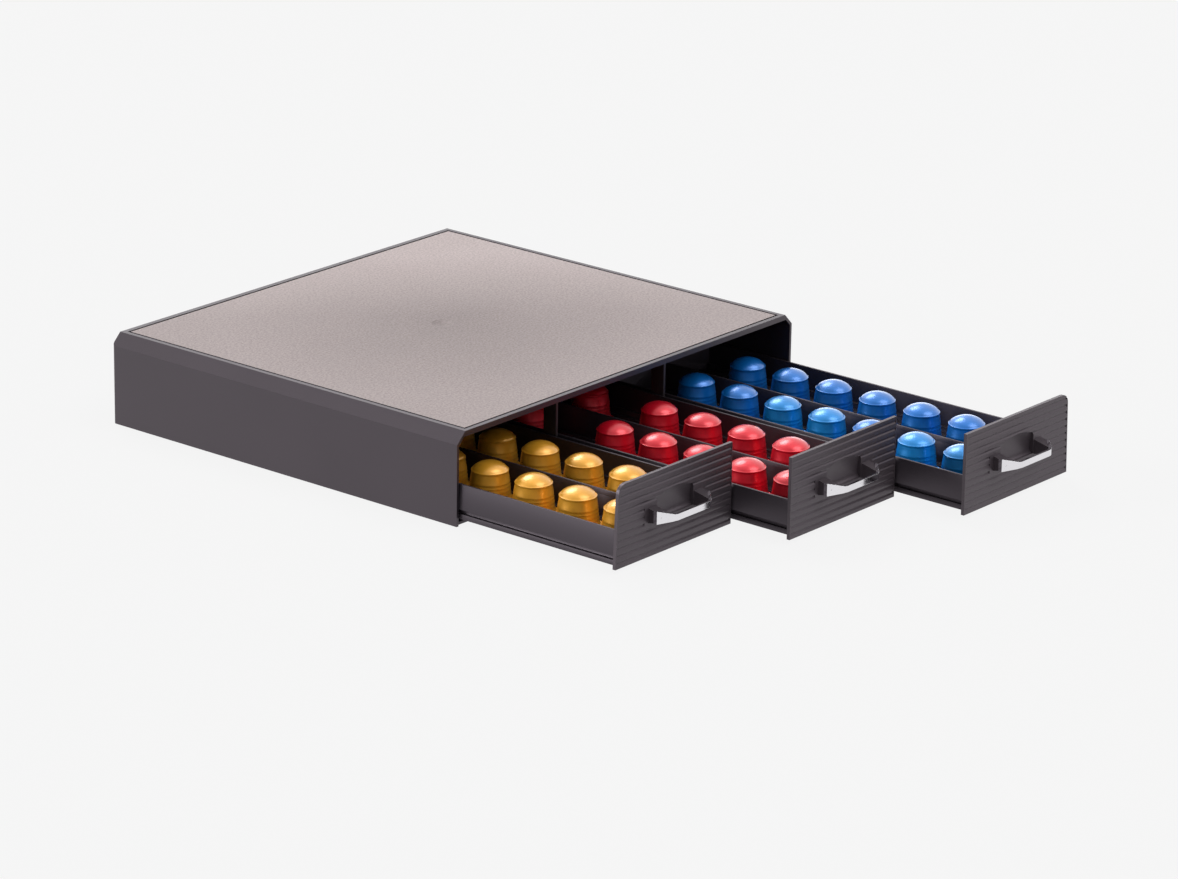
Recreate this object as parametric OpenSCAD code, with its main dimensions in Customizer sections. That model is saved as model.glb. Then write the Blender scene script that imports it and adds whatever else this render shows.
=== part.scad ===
// Low box with three side-by-side drawers for coffee pods.
// The origin is on the surface it stands on, in the middle of the whole object as it stands, with
// its drawers part open. +X is right, +Y is the rear and +Z is up.

/* [Housing] */
// Width of the housing, side to side
housing_w = 360; // [300:1:432]
// Depth of the housing, front edge to rear face
housing_d = 318; // [265:1:382]
// Height of the housing above the underside of the base
housing_h = 65; // [60:0.5:78]
// Thickness of the side, rear and dividing walls
wall_t = 2; // [1.6:0.1:2.4]
// Thickness of the top deck
deck_t = 3.2; // [3:0.1:4]
// Size of the sloping faces along the two side top edges
edge_slope = 8; // [7:0.5:9.5]
// Radius of the upright rear corners
rear_corner_r = 2.5; // [2:0.5:8]
// Height of the front lip
lip_h = 3.8; // [3.6:0.1:5]
// Depth of the front lip
lip_d = 6; // [5:0.5:8]
// How far the dividing walls stand back from the front
divider_back = 17; // [16:0.5:20]

/* [Top panel] */
// Width of the rim round the panel
rim_w = 3.4; // [3:0.1:5]
// Width of the groove between the rim and the panel
panel_groove = 1.5; // [1:0.1:2]
// Thickness of the panel, which is also the depth of its recess
panel_t = 2; // [1.5:0.1:2.4]

/* [Base] */
// Thickness of the base plate
base_t = 2; // [1.7:0.1:2.4]
// Gap between the base plate and the walls
base_gap = 0.3; // [0.2:0.05:0.5]
// Height that the feet stand out under the base
foot_h = 1; // [0.8:0.1:2]
// Radius of a foot
foot_r = 7; // [6:0.5:9]
// Radius of the plug that holds a foot in the base
plug_r = 2.4; // [2:0.1:3]
// Distance of a foot from the outer faces
foot_inset = 22; // [20:1:30]

/* [Drawers] */
// How much wider an outer front is than the middle front
outer_extra = 6; // [4:0.5:8]
// Gap between neighbouring fronts, and beside the outer ones
front_gap = 0.6; // [0.4:0.1:1]
// Gap between a front and the front lip
front_top_gap = 1.7; // [0.4:0.1:2]
// Height of the fronts' lower edge
front_low = 2.5; // [2:0.1:4]
// Thickness of a front
front_t = 2.4; // [2.2:0.1:3]
// Size of the cut outer top corner of an outer front
front_corner = 7; // [5:0.5:9]
// How far the lower outer corner of an outer front stands in from the housing's side
outer_inset = 1.3; // [0:0.1:2]
// How much further in an outer front's side edge is at its top
outer_lean = 2; // [0:0.1:3]
// Spacing of the ribs on a front
rib_pitch = 5; // [4:0.25:6]
// Width of the groove between two ribs
rib_groove_w = 1.4; // [1:0.1:2]
// Depth of the groove between two ribs
rib_groove_d = 0.5; // [0.3:0.1:0.8]
// Side gap between a tray and its bay
tray_gap = 1; // [0.8:0.1:1.4]
// Gap between a closed tray and the rear wall
tray_rear_gap = 7; // [7:0.5:10]
// Length of tray that stays in the housing when the drawer is fully open
hold_in = 47; // [46:1:60]
// Gap between a closed front and the housing's front edge
close_gap = 0.3; // [0.3:0.1:0.8]
// How far the left drawer stands short of fully open
short_left = 130.4; // [0:0.1:150]
// How far the middle drawer stands short of fully open
short_middle = 81.8; // [0:0.1:150]
// How far the right drawer stands short of fully open
short_right = 24.7; // [0:0.1:150]

/* [Tray] */
// Height of the tray's underside
tray_low = 5; // [4.6:0.1:5.4]
// Height of the tray's side walls
tray_top = 29.5; // [26:0.5:35]
// Thickness of the tray's walls
tray_wall = 1.6; // [1.4:0.1:2]
// Height of the floor on which the pods stand
floor_top = 9; // [8.8:0.1:9.4]
// Thickness of the floor
floor_t = 2; // [1.6:0.1:2]
// Height of the strip under the side groove
strip_h = 3.6; // [3.2:0.1:3.8]
// Height of the side groove
groove_h = 3; // [2.6:0.1:3.4]
// Depth of the side groove
groove_d = 2.4; // [2:0.1:3]
// Gap round the keeper rib that runs in the groove
keeper_gap = 0.4; // [0.35:0.05:0.6]
// Thickness of the wall between the two lanes
lane_wall = 1.3; // [1:0.1:1.6]
// Height of the wall between the two lanes
lane_wall_top = 28.3; // [24:0.1:32]
// Distance between the middles of the two lanes
lane_pitch = 53; // [50:0.5:56]

/* [Handle] */
// Height of the middle of the handle
handle_z = 31; // [29:0.1:34]
// Half of the handle's length
handle_half = 27.5; // [26:0.5:32]
// How far the outer drawers' handles stand towards the middle drawer
handle_in = 1.2; // [0:0.1:3]
// Half of the length of the straight grip
grip_half = 18.3; // [17:0.1:20]
// How far the grip stands out from the front
grip_out = 15.8; // [14:0.2:20]
// How far the ends of the bow stand out from the front
end_out = 7; // [6.4:0.2:10]
// Thickness of the bow
bow_t = 2; // [1.6:0.1:2.4]
// Height of the bow at its ends
bow_end_h = 9.4; // [9:0.2:11]
// Height of the bow along the grip
bow_grip_h = 4.4; // [4:0.2:8]
// Width of a post
post_w = 8; // [5.6:0.1:8]
// Radius of the boss behind each end of the bow
boss_r = 2; // [1.8:0.1:2.3]
// Radius of a handle screw
screw_r = 1.1; // [0.9:0.05:1.2]

/* [Finger recess] */
// Half width of the arch of the finger recess
recess_half = 29; // [27:0.5:31]
// Height of the arch above its springing
recess_rise = 17; // [14:0.5:18]
// Height of the springing of the arch
recess_z = 27; // [26:0.5:28]
// Depth of the recess
recess_d = 3; // [2:0.5:5.5]
// Thickness of the recess's own wall
recess_wall = 1.2; // [1:0.1:1.4]

/* [Pods] */
// Distance between pods in a lane
pod_pitch = 38; // [37.5:0.1:40]
// Places left empty at the rear of each lane
empty_places = 1; // [1:1:3]
// Radius of the pod's flange
flange_r = 18.5; // [18:0.1:18.5]
// Thickness of the pod's flange
flange_t = 1.1; // [0.8:0.1:1.4]
// Radius of the pod just above its flange
pod_foot_r = 15; // [14:0.1:15.2]
// Radius of the pod at its shoulder
shoulder_r = 12.6; // [11.5:0.1:13]
// Height of the pod's shoulder above the flange's underside
shoulder_z = 22.3; // [19:0.1:23]
// Height of the whole pod
pod_h = 28.3; // [26:0.1:30]
// Thickness of the pod's wall
pod_wall = 0.6; // [0.5:0.05:0.8]
// Thickness of the pod's foil lid
foil_t = 0.2; // [0.15:0.05:0.3]

/* [Hidden] */
$fn = 64;

LEFT = 0;
MIDDLE = 1;
RIGHT = 2;
plastic = [0.30, 0.28, 0.30];
plastic_dark = [0.20, 0.19, 0.20];
panel_colour = [0.66, 0.63, 0.61];
rubber_colour = [0.12, 0.12, 0.12];
chrome_colour = [0.85, 0.85, 0.87];
screw_colour = [0.70, 0.70, 0.72];
foil_colour = [0.80, 0.80, 0.80];
pod_colours = [[0.80, 0.58, 0.16], [0.75, 0.08, 0.18], [0.05, 0.38, 0.72]];

// Housing faces
half_w = housing_w / 2;
front_y = -housing_d / 2;
rear_y = housing_d / 2;
rear_in = rear_y - wall_t;
deck_low = housing_h - deck_t;
lip_low = housing_h - lip_h;
slope_low_in = housing_h - edge_slope - wall_t * (sqrt(2) - 1);
slope_top_in = edge_slope - deck_t + wall_t * sqrt(2);
rear_margin = 4;
least_corner_r = 0.2;

// Fronts, bays and trays, by drawer
middle_w = (housing_w - 4 * front_gap - 2 * outer_extra) / 3;
outer_w = middle_w + outer_extra;
divider_x = middle_w / 2 + front_gap / 2;
outer_x = half_w - front_gap - outer_w / 2;
drawer_x = [-outer_x, 0, outer_x];
front_half = [outer_w / 2, middle_w / 2, outer_w / 2];
outer_tray_half = half_w - wall_t - tray_gap - outer_x;
middle_tray_half = divider_x - wall_t / 2 - tray_gap;
tray_half = [outer_tray_half, middle_tray_half, outer_tray_half];
tray_len = housing_d - wall_t - tray_rear_gap;
travel = tray_len - hold_in - close_gap;
opened = [travel - short_left, travel - short_middle, travel - short_right];
front_top = lip_low - front_top_gap;
foremost_y = front_y - close_gap - max(opened) - front_t - grip_out;

// Keeper ribs, slide rails and stops
groove_low = tray_low + strip_h;
keeper_z = groove_low + keeper_gap;
keeper_h = groove_h - 2 * keeper_gap;
keeper_bite = groove_d - 1.5 * keeper_gap;
keeper_front = divider_back + 1;
rail_gap = 0.3;
rail_w = 3;
rail_in = 1.5;
stop_len = [2.5, 2.5, 3];
stop_gap = 0.3;
stop_half = 6;
tab_half = 10;
stop_head = 0.7;

// Screws and bosses of the base
rear_boss_y = rear_in - 3;
base_screw_r = 0.9;
base_screw_len = 9;
base_head_r = 2;
base_head_h = 1.1;
rear_boss_r = 3.2;
rear_boss_h = 12;
rear_boss_x = [half_w - 9, 30];
column_r = 1.65;
column_h = 12;
column_y = front_y + divider_back + column_r;
tongue_len = 24;
tongue_back = 0.5;
tongue_y = [0, rear_y - 50];
ledge_w = 2;
ledge_h = 1.4;
ledge_short = 6;
guide_t = 1.2;
guide_h = 2;
guide_gap = 0.1;

// Windows in the dividing walls
window_front = 11;
window_post = 8;
window_rear = 10;
window_low = tray_top - 1.5;
window_head = 6;

// Handle and its screws
handle_x = [handle_in, 0, -handle_in];
boss_x = handle_half - post_w / 2;
bow_slope = (grip_out - end_out) / (handle_half - grip_half);
bow_back = bow_t * sqrt(1 + bow_slope * bow_slope);
boss_short = 1.5;
boss_gap = 0.02;
screw_gap = 0.1;
screw_bite = 5;
screw_head_r = 2.2;
screw_head_h = 1.4;
post_extra = 0.5;
post_taper = 3.6;
ear_half = 4;
ear_top = handle_z + 5;
bar_low = 12;
recess_low = 25.5;
recess_margin = 0.8;
recess_limit = handle_half - post_w - recess_margin;
recess_room = 0.4;
recess_back = recess_d - front_t + recess_wall;
arch_steps = 24;
plain_half = handle_half + 4.5;
plain_low = 24.5;
plain_high = 38;

// Lanes and pods
lane_rib_w = 1.2;
lane_rib_h = 1.5;
lane_rib_gap = 0.4;
pods_per_row = floor((tray_len - 2 * tray_wall) / pod_pitch) - empty_places;
row_start = [[18.8, 20], [20, 24], [24.7, 21]];
missing_pods = [0, 1, 0];
gap_after = 5;
row_gap = [[0, 0], [38, 23.7], [0, 0]];
foil_r = flange_r - 0.6;

// Moves a piece, drawn about the middle of the housing's underside, to where the object stands.
module standing() {
    translate([0, -(rear_y + foremost_y) / 2, foot_h]) children();
}

// Extrudes an X-Z outline from y0 to y1.
module along_y(y0, y1) {
    translate([0, y1, 0]) rotate([90, 0, 0]) linear_extrude(y1 - y0) children();
}

// A box from its low corner to its high corner.
module box(low, high) {
    translate(low) cube([high[0] - low[0], high[1] - low[1], high[2] - low[2]]);
}

// Plan of the housing with rounded rear corners, moved in by inset.
module plan(inset, y0) {
    r = max(rear_corner_r - inset, least_corner_r);
    hw = half_w - inset;
    back = rear_y - inset;
    translate([-hw, y0]) square([2 * hw, back - r - y0]);
    translate([-hw + r, y0]) square([2 * (hw - r), back - y0]);
    for (side = [-1, 1]) translate([side * (hw - r), back - r]) circle(r);
}

// End view of the housing's outside.
module outer_view() {
    polygon([
        [-half_w, 0], [-half_w, housing_h - edge_slope], [-half_w + edge_slope, housing_h],
        [half_w - edge_slope, housing_h], [half_w, housing_h - edge_slope], [half_w, 0]
    ]);
}

// End view of the space inside the housing, up to the height top.
module inner_view(top) {
    wall_x = half_w - wall_t;
    deck_x = half_w - slope_top_in + (deck_low - top);
    polygon([
        [-wall_x, -1], [-wall_x, slope_low_in], [-deck_x, top],
        [deck_x, top], [wall_x, slope_low_in], [wall_x, -1]
    ]);
}

// The keeper rib on one side of a drawer's bay, reaching from wall_x into the tray's groove.
module keeper(drawer, side, wall_x) {
    tip = drawer_x[drawer] + side * (tray_half[drawer] - keeper_bite);
    box([min(tip, wall_x), front_y + keeper_front, keeper_z],
        [max(tip, wall_x), rear_in, keeper_z + keeper_h]);
}

module housing_shell() {
    color(plastic) standing() difference() {
        union() {
            difference() {
                intersection() {
                    along_y(front_y, rear_y) outer_view();
                    linear_extrude(housing_h) plan(0, front_y);
                }
                intersection() {
                    along_y(front_y + lip_d, rear_in) inner_view(deck_low);
                    translate([0, 0, -1]) linear_extrude(housing_h) plan(wall_t, front_y);
                }
                along_y(front_y - 1, front_y + lip_d + 1) inner_view(lip_low);
            }
            keeper(LEFT, -1, -half_w + wall_t / 2);
            keeper(RIGHT, 1, half_w - wall_t / 2);
            for (side = [-1, 1]) {
                ledge_x = side * (half_w - wall_t / 2 - (wall_t / 2 + ledge_w) / 2);
                translate([ledge_x, 0, base_t + ledge_h / 2])
                    cube([wall_t / 2 + ledge_w, housing_d - 2 * ledge_short, ledge_h], center = true);
                for (x = rear_boss_x)
                    translate([side * x, rear_boss_y, base_t])
                        cylinder(r = rear_boss_r, h = rear_boss_h);
                for (x = [divider_x - wall_t / 2 - guide_gap - guide_t, divider_x + wall_t / 2 + guide_gap])
                    box([side * x - (side < 0 ? guide_t : 0), front_y + lip_d, deck_low - guide_h],
                        [side * x + (side < 0 ? 0 : guide_t), rear_in + 0.5, deck_low + 0.5]);
            }
        }
        box([-half_w + edge_slope + rim_w, front_y + rim_w, housing_h - panel_t],
            [half_w - edge_slope - rim_w, rear_y - rear_margin, housing_h + 1]);
        for (side = [-1, 1], x = rear_boss_x)
            translate([side * x, rear_boss_y, base_t - 1])
                cylinder(r = base_screw_r, h = base_screw_len);
    }
}

module top_panel() {
    side = half_w - edge_slope - rim_w - panel_groove;
    color(panel_colour) standing()
        box([-side, front_y + rim_w + panel_groove, housing_h - panel_t],
            [side, rear_y - rear_margin - panel_groove, housing_h]);
}

// Places children at each base screw.
module at_base_screws() {
    for (side = [-1, 1]) {
        translate([side * divider_x, column_y, 0]) children();
        for (x = rear_boss_x) translate([side * x, rear_boss_y, 0]) children();
    }
}

module base_plate() {
    foot_x = half_w - foot_inset;
    foot_y = rear_y - foot_inset;
    color(plastic_dark) standing() difference() {
        union() {
            linear_extrude(base_t) plan(wall_t + base_gap, front_y + 2);
            for (drawer = [LEFT, MIDDLE, RIGHT]) translate([drawer_x[drawer], 0, 0]) {
                for (side = [-1, 1]) {
                    rail_x = side * (tray_half[drawer] - rail_in - rail_w / 2);
                    translate([rail_x - rail_w / 2, front_y + 6, base_t - 0.5])
                        cube([rail_w, housing_d - 18, tray_low - rail_gap - base_t + 0.5]);
                }
                stop_y = front_y - close_gap - travel + tray_len - stop_len[drawer] - stop_gap;
                box([-stop_half, stop_y - stop_len[drawer], base_t - 0.5],
                    [stop_half, stop_y, floor_top - floor_t - stop_head]);
            }
        }
        at_base_screws() translate([0, 0, -1]) cylinder(r = base_screw_r + screw_gap, h = base_t + 2);
        at_base_screws() translate([0, 0, -1]) cylinder(r = base_head_r + screw_gap, h = base_head_h + 1);
        for (side = [-1, 1], y = tongue_y)
            translate([side * divider_x, y, 0]) cube([wall_t, tongue_len, 3 * base_t], center = true);
        for (x = [-foot_x, foot_x], y = [-foot_y, foot_y])
            translate([x, y, -1]) cylinder(r = plug_r, h = base_t + 2);
    }
}

// A dividing wall; side is -1 for the left one and 1 for the right one.
module divider(side) {
    outer_bay = side < 0 ? LEFT : RIGHT;
    window_start = front_y + divider_back + window_front;
    window_end = rear_in - window_rear;
    window_mid = (window_start + window_end) / 2;
    color(plastic_dark) standing() difference() {
        union() {
            box([side * divider_x - wall_t / 2, front_y + divider_back, base_t],
                [side * divider_x + wall_t / 2, rear_in, deck_low]);
            keeper(outer_bay, -side, side * divider_x);
            keeper(MIDDLE, side, side * divider_x);
            translate([side * divider_x, column_y, base_t]) cylinder(r = column_r, h = column_h);
            for (y = tongue_y)
                translate([side * divider_x, y, base_t])
                    cube([wall_t, tongue_len, 2 * (base_t - tongue_back)], center = true);
        }
        translate([side * divider_x, column_y, base_t - 1]) cylinder(r = base_screw_r, h = base_screw_len);
        for (span = [[window_start, window_mid - window_post / 2],
                     [window_mid + window_post / 2, window_end]])
            box([side * divider_x - wall_t, span[0], window_low],
                [side * divider_x + wall_t, span[1], deck_low - window_head]);
    }
}
module divider_left() { divider(-1); }
module divider_right() { divider(1); }

module base_screws() {
    color(screw_colour) standing() at_base_screws() {
        cylinder(r = base_head_r, h = base_head_h);
        cylinder(r = base_screw_r, h = base_t + base_screw_len - 2.5);
    }
}

// A rubber foot; across is -1 left or 1 right, along is -1 front or 1 rear.
module foot(across, along) {
    place = [across * (half_w - foot_inset), along * (rear_y - foot_inset), 0];
    color(rubber_colour) standing() translate(place) {
        translate([0, 0, -foot_h]) cylinder(r = foot_r, h = foot_h);
        translate([0, 0, -0.2]) cylinder(r = plug_r, h = base_t + 0.2);
    }
}
module foot_front_left() { foot(-1, -1); }
module foot_front_right() { foot(1, -1); }
module foot_rear_left() { foot(-1, 1); }
module foot_rear_right() { foot(1, 1); }

// Puts a piece of a drawer, drawn from the back of the closed front, where the drawer stands.
module in_drawer(drawer) {
    translate([drawer_x[drawer], front_y - close_gap - opened[drawer], 0]) children();
}

// Outline of the finger recess on the front, grown by the given margin.
module arch(margin) {
    a = recess_half + margin;
    b = recess_rise + margin;
    intersection() {
        polygon(concat(
            [[a, recess_low - margin]],
            [for (i = [0 : arch_steps]) let (turn = 180 * i / arch_steps)
                [a * cos(turn), recess_z + b * sin(turn)]],
            [[-a, recess_low - margin]]
        ));
        translate([-recess_limit - margin, 0]) square([2 * (recess_limit + margin), housing_h]);
    }
}

// End view of a tray's outside, with the groove down each side.
module tray_view(half) {
    polygon([
        [half, tray_low], [half, groove_low], [half - groove_d, groove_low],
        [half - groove_d, groove_low + groove_h], [half, groove_low + groove_h], [half, tray_top],
        [-half, tray_top], [-half, groove_low + groove_h], [-half + groove_d, groove_low + groove_h],
        [-half + groove_d, groove_low], [-half, groove_low], [-half, tray_low]
    ]);
}

module tray(drawer) {
    half = tray_half[drawer];
    narrow = half - groove_d - tray_wall;
    ledge_top = groove_low + groove_h + tray_wall;
    lane_x = lane_pitch / 2;
    at_x = handle_x[drawer];
    color(plastic) standing() in_drawer(drawer) difference() {
        union() {
            difference() {
                along_y(0, tray_len) tray_view(half);
                box([-narrow, -1, floor_top], [narrow, tray_len - tray_wall, tray_top + 1]);
                box([-half + tray_wall, -1, ledge_top],
                    [half - tray_wall, tray_len - tray_wall, tray_top + 1]);
                box([-narrow, -1, tray_low - 1], [narrow, tray_len - tray_wall, floor_top - floor_t]);
            }
            box([-half + tray_wall / 2, 0, bar_low], [half - tray_wall / 2, tray_wall, tray_top]);
            for (side = [-1, 1])
                box([at_x + side * boss_x - ear_half, 0, tray_top - 1],
                    [at_x + side * boss_x + ear_half, tray_wall, ear_top]);
            box([-lane_wall / 2, 0, floor_top - 0.5], [lane_wall / 2, tray_len - 0.5, lane_wall_top]);
            for (lane = [-lane_x, lane_x], side = [-1, 1]) {
                rib_x = lane + side * (flange_r + lane_rib_gap + lane_rib_w / 2);
                box([rib_x - lane_rib_w / 2, 0, floor_top - 0.5],
                    [rib_x + lane_rib_w / 2, tray_len - 0.5, floor_top + lane_rib_h]);
            }
            box([-tab_half, tray_len - stop_len[drawer], tray_low + 0.3],
                [tab_half, tray_len - 0.5, floor_top - 0.5]);
        }
        along_y(-1, recess_back + recess_room) translate([at_x, 0]) arch(recess_wall + recess_room);
        for (side = [-1, 1])
            translate([at_x + side * boss_x, -1, handle_z]) rotate([-90, 0, 0])
                cylinder(r = screw_r + screw_gap, h = tray_wall + 2);
    }
}

// Plan of one handle post, in x and distance out from the front's outer face.
module post_plan() {
    out_end = end_out - bow_back;
    polygon([
        [handle_half, -1], [handle_half, out_end],
        [handle_half - post_w, out_end + post_w * bow_slope], [handle_half - post_w, -1]
    ]);
}

// One handle post, on the +x side, with y as the distance out from the front's outer face and z
// from the middle of the handle. It gets lower towards the bow.
module post() {
    base_half = bow_end_h / 2 + post_extra;
    tip_half = base_half - post_taper;
    intersection() {
        translate([0, 0, -base_half]) linear_extrude(2 * base_half) post_plan();
        rotate([90, 0, 90]) linear_extrude(handle_half + 1) polygon([
            [-2, -base_half], [-2, base_half], [0, base_half],
            [grip_out, tip_half], [grip_out, -tip_half], [0, -base_half]
        ]);
    }
}

// A drawer front; cut_left and cut_right say which top corners are cut.
module front(drawer, cut_left, cut_right) {
    half = front_half[drawer];
    ribs = floor((front_top - front_low) / rib_pitch);
    first = front_low + (front_top - front_low - (ribs - 1) * rib_pitch) / 2;
    corner_l = cut_left ? front_corner : 0.01;
    corner_r = cut_right ? front_corner : 0.01;
    low_l = -half + (cut_left ? outer_inset : 0);
    low_r = half - (cut_right ? outer_inset : 0);
    top_l = low_l + (cut_left ? outer_lean : 0);
    top_r = low_r - (cut_right ? outer_lean : 0);
    at_x = handle_x[drawer];
    color(plastic) standing() in_drawer(drawer) difference() {
        union() {
            along_y(-front_t, 0) polygon([
                [low_l, front_low], [top_l, front_top - corner_l], [top_l + corner_l, front_top],
                [top_r - corner_r, front_top], [top_r, front_top - corner_r], [low_r, front_low]
            ]);
            along_y(-front_t / 2, recess_back) translate([at_x, 0]) arch(recess_wall);
            for (side = [0, 1]) translate([at_x, 0, 0]) mirror([side, 0, 0])
                translate([0, -front_t, handle_z]) mirror([0, 1, 0]) post();
        }
        along_y(-front_t - 1, recess_d - front_t) translate([at_x, 0]) arch(0);
        for (i = [0 : ribs - 1]) {
            z = first + i * rib_pitch;
            plain = z > plain_low && z < plain_high;
            end = half + 1;
            for (span = plain ? [[-end, at_x - plain_half], [at_x + plain_half, end]] : [[-end, end]])
                box([span[0], -front_t - 1, z - rib_groove_w / 2],
                    [span[1], -front_t + rib_groove_d, z + rib_groove_w / 2]);
        }
        for (side = [-1, 1]) translate([at_x + side * boss_x, 0, handle_z]) rotate([90, 0, 0]) {
            translate([0, 0, -2]) cylinder(r = screw_r + screw_gap, h = grip_out);
            translate([0, 0, front_t + boss_short - 0.2]) cylinder(r = boss_r + boss_gap, h = grip_out);
        }
    }
}

// Half height of the bow at its ends, its bends and along the grip, as an X-Z outline.
module bow_view() {
    e = bow_end_h / 2;
    g = bow_grip_h / 2;
    far = handle_half + 1;
    translate([0, handle_z]) polygon([
        [-far, -e], [-far, e], [-grip_half, g], [grip_half, g],
        [far, e], [far, -e], [grip_half, -g], [-grip_half, -g]
    ]);
}

module handle(drawer) {
    face = front_t;
    back_grip = grip_half - (bow_back - bow_t) / bow_slope;
    color(chrome_colour) standing() in_drawer(drawer) translate([handle_x[drawer], 0, 0]) difference() {
        union() {
            intersection() {
                mirror([0, 1, 0]) linear_extrude(housing_h) polygon([
                    [-handle_half, face + end_out - bow_back], [-handle_half, face + end_out],
                    [-grip_half, face + grip_out], [grip_half, face + grip_out],
                    [handle_half, face + end_out], [handle_half, face + end_out - bow_back],
                    [back_grip, face + grip_out - bow_t], [-back_grip, face + grip_out - bow_t]
                ]);
                along_y(-housing_h, 0) bow_view();
            }
            for (side = [-1, 1]) translate([side * boss_x, 0, handle_z]) rotate([90, 0, 0])
                translate([0, 0, face + boss_short])
                    cylinder(r = boss_r, h = end_out - boss_short + (post_w / 2) * bow_slope - bow_back / 2);
        }
        for (side = [-1, 1]) translate([side * boss_x, 0, handle_z]) rotate([90, 0, 0])
            translate([0, 0, face + boss_short - 1]) cylinder(r = screw_r, h = screw_bite + 1);
    }
}

module handle_screws(drawer) {
    color(screw_colour) standing() in_drawer(drawer) translate([handle_x[drawer], 0, 0])
        for (side = [-1, 1]) translate([side * boss_x, tray_wall, handle_z]) rotate([90, 0, 0]) {
            translate([0, 0, -screw_head_h]) cylinder(r = screw_head_r, h = screw_head_h);
            translate([0, 0, -0.5]) cylinder(r = screw_r, h = tray_wall + front_t + boss_short + screw_bite);
        }
}

// Places children at each pod of a lane; row is 0 for the left lane and 1 for the right lane.
module along_lane(drawer, row) {
    lane_x = (row - 0.5) * lane_pitch;
    in_drawer(drawer) for (i = [0 : pods_per_row - missing_pods[drawer] - 1]) {
        y = row_start[drawer][row] + i * pod_pitch + (i < gap_after ? 0 : row_gap[drawer][row]);
        translate([lane_x, y, floor_top]) children();
    }
}

// A hollow pod cup, flange down, standing on its foil.
module pod() {
    step = 0.35;
    ring_z = 5;
    nose_r = 4.5;
    nose_z = pod_h - 0.9;
    slope = (pod_foot_r - shoulder_r) / (shoulder_z - ring_z);
    rotate_extrude() polygon([
        [pod_foot_r - pod_wall, foil_t], [flange_r, foil_t], [flange_r, foil_t + flange_t],
        [pod_foot_r, foil_t + flange_t], [pod_foot_r, ring_z], [pod_foot_r - step, ring_z + step],
        [shoulder_r, shoulder_z], [nose_r, nose_z], [0, pod_h],
        [0, pod_h - pod_wall], [nose_r - 0.2, nose_z - pod_wall],
        [shoulder_r - pod_wall, shoulder_z - pod_wall / 2],
        [pod_foot_r - step - pod_wall, ring_z + step - pod_wall * slope]
    ]);
}

module pods(drawer, row) {
    color(pod_colours[drawer]) standing() along_lane(drawer, row) pod();
}

module foils(drawer, row) {
    color(foil_colour) standing() along_lane(drawer, row) cylinder(r = foil_r, h = foil_t);
}

module tray_left() { tray(LEFT); }
module front_left() { front(LEFT, true, false); }
module handle_left() { handle(LEFT); }
module handle_screws_left() { handle_screws(LEFT); }
module pods_left_outer() { pods(LEFT, 0); }
module pods_left_inner() { pods(LEFT, 1); }
module foils_left_outer() { foils(LEFT, 0); }
module foils_left_inner() { foils(LEFT, 1); }

module tray_middle() { tray(MIDDLE); }
module front_middle() { front(MIDDLE, false, false); }
module handle_middle() { handle(MIDDLE); }
module handle_screws_middle() { handle_screws(MIDDLE); }
module pods_middle_left() { pods(MIDDLE, 0); }
module pods_middle_right() { pods(MIDDLE, 1); }
module foils_middle_left() { foils(MIDDLE, 0); }
module foils_middle_right() { foils(MIDDLE, 1); }

module tray_right() { tray(RIGHT); }
module front_right() { front(RIGHT, false, true); }
module handle_right() { handle(RIGHT); }
module handle_screws_right() { handle_screws(RIGHT); }
module pods_right_inner() { pods(RIGHT, 0); }
module pods_right_outer() { pods(RIGHT, 1); }
module foils_right_inner() { foils(RIGHT, 0); }
module foils_right_outer() { foils(RIGHT, 1); }

housing_shell();
top_panel();
base_plate();
divider_left();
divider_right();
base_screws();
foot_front_left();
foot_front_right();
foot_rear_left();
foot_rear_right();
tray_left();
front_left();
handle_left();
handle_screws_left();
pods_left_outer();
pods_left_inner();
foils_left_outer();
foils_left_inner();
tray_middle();
front_middle();
handle_middle();
handle_screws_middle();
pods_middle_left();
pods_middle_right();
foils_middle_left();
foils_middle_right();
tray_right();
front_right();
handle_right();
handle_screws_right();
pods_right_inner();
pods_right_outer();
foils_right_inner();
foils_right_outer();
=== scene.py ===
"""Finished pieces of a low box with three side-by-side drawers for coffee pods.

Every length is in metres. X is right, Y is the rear and Z is up, as in the frame.
"""
import math

import bmesh
import bpy
from bpy.props import FloatProperty, FloatVectorProperty, IntProperty, PointerProperty
from mathutils import Matrix, Vector


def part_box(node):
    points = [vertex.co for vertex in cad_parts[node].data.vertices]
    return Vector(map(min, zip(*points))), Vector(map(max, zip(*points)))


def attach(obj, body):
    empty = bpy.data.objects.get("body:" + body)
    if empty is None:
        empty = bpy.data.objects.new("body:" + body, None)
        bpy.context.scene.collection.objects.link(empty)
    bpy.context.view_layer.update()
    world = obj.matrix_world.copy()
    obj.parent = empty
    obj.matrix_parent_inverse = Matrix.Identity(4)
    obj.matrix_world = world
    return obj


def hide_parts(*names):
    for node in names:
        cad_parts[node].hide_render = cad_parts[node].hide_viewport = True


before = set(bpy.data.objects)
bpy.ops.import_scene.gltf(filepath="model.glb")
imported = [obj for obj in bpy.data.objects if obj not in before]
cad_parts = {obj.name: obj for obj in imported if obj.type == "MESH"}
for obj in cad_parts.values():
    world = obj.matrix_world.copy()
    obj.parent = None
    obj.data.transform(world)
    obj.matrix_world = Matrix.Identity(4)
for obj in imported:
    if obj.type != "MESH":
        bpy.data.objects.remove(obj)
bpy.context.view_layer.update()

bl_info = {
    "name": "Coffee pod drawers",
    "version": (1, 0, 0),
    "blender": (4, 5, 0),
    "location": "3D View > Sidebar > Pod drawers",
    "description": "Builds the finished pieces of a three-drawer box for coffee pods",
    "category": "Add Mesh",
}

SIDES = ("left", "middle", "right")
LANES = {
    "left": ("outer", "inner"),
    "middle": ("left", "right"),
    "right": ("inner", "outer"),
}

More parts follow.
